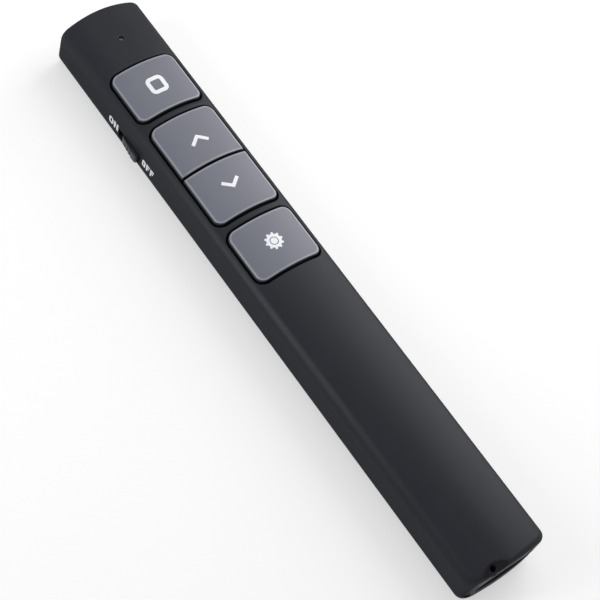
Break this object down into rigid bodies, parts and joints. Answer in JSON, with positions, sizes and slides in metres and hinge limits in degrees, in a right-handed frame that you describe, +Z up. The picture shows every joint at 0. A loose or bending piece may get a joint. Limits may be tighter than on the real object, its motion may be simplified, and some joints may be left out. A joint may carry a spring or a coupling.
{
  "type": "presentation clicker",
  "caption": "Slim wireless presentation clicker with crowned grey keys, a side power slider, a laser window, a sliding battery cover and a pull-out USB receiver.",
  "frame": {"origin": "middle of the flat underside that the clicker lies on", "axes": "+X to the right seen from above with the nose ahead, +Y along the body to the laser nose, +Z up to the keys"},
  "size_m": [0.0209, 0.15, 0.0137],
  "materials": {
    "soft_touch_top": "soft-touch, satin",
    "soft_touch_base": "fine grain, satin",
    "key_grey": "satin grey",
    "switch_black": "moulded, matte",
    "knob_black": "fine grain, matte",
    "tray_black": "moulded, matte",
    "white_plastic": "moulded, satin",
    "stamped_steel": "stamped, bright",
    "nickel_plate": "plated, bright",
    "brass_turned": "turned, satin",
    "gold_plate": "plated, bright",
    "board_green": "solder mask over glass-fibre board",
    "chip_black": "moulded epoxy, matte",
    "chip_parts_tan": "ceramic, matte",
    "led_white": "clear resin over a white body",
    "clear_acrylic": "clear, polished",
    "red_window": "dark red tinted, polished",
    "cell_sleeve": "printed sleeve, glossy",
    "lead_pvc": "insulation, one red and one black",
    "screw_steel": "zinc plated"
  },
  "bodies": {
    "housing": {"upper_housing": "soft_touch_top", "lower_housing": "soft_touch_base", "tact_bases": "switch_black", "tact_covers": "stamped_steel", "snap_domes": "stamped_steel", "circuit_board": "board_green", "radio_chip": "chip_black", "crystal_can": "nickel_plate", "chip_parts": "chip_parts_tan", "status_led": "led_white", "light_pipe": "clear_acrylic", "slide_switch_case": "stamped_steel", "laser_barrel": "brass_turned", "laser_lens": "clear_acrylic", "laser_diode": "gold_plate", "nose_window": "red_window", "battery_tray": "tray_black", "battery_cell": "cell_sleeve", "positive_contact": "nickel_plate", "negative_contact": "nickel_plate", "battery_spring": "nickel_plate", "battery_leads": "lead_pvc", "housing_screws": "screw_steel", "board_screws": "screw_steel", "tray_screws": "screw_steel"},
    "stop": {"stop_key": "key_grey", "stop_plunger": "switch_black"},
    "page_up": {"page_up_key": "key_grey", "page_up_plunger": "switch_black"},
    "page_down": {"page_down_key": "key_grey", "page_down_plunger": "switch_black"},
    "pointer": {"pointer_key": "key_grey", "pointer_plunger": "switch_black"},
    "power_slider": {"power_knob": "knob_black", "slide_switch_stem": "switch_black"},
    "cover": {"battery_cover": "soft_touch_base"},
    "receiver": {"receiver_cap": "knob_black", "receiver_shell": "nickel_plate", "receiver_tongue": "white_plastic", "receiver_contacts": "gold_plate"}
  },
  "joints": [
    {"name": "stop_press", "type": "slide", "parent": "housing", "child": "stop", "axis": [0, 0, -1], "range_m": [0, 0.0004], "stiffness_N_per_m": 4000, "springref_m": -0.0001},
    {"name": "page_up_press", "type": "slide", "parent": "housing", "child": "page_up", "axis": [0, 0, -1], "range_m": [0, 0.0004], "stiffness_N_per_m": 4000, "springref_m": -0.0001},
    {"name": "page_down_press", "type": "slide", "parent": "housing", "child": "page_down", "axis": [0, 0, -1], "range_m": [0, 0.0004], "stiffness_N_per_m": 4000, "springref_m": -0.0001},
    {"name": "pointer_press", "type": "slide", "parent": "housing", "child": "pointer", "axis": [0, 0, -1], "range_m": [0, 0.0004], "stiffness_N_per_m": 4000, "springref_m": -0.0001},
    {"name": "power_slide", "type": "slide", "parent": "housing", "child": "power_slider", "axis": [0, 1, 0], "range_m": [0, 0.0015]},
    {"name": "cover_slide", "type": "slide", "parent": "housing", "child": "cover", "axis": [0, -1, 0], "range_m": [0, 0.072]},
    {"name": "receiver_pull", "type": "slide", "parent": "housing", "child": "receiver", "axis": [0, -1, 0], "range_m": [0, 0.025]}
  ]
}
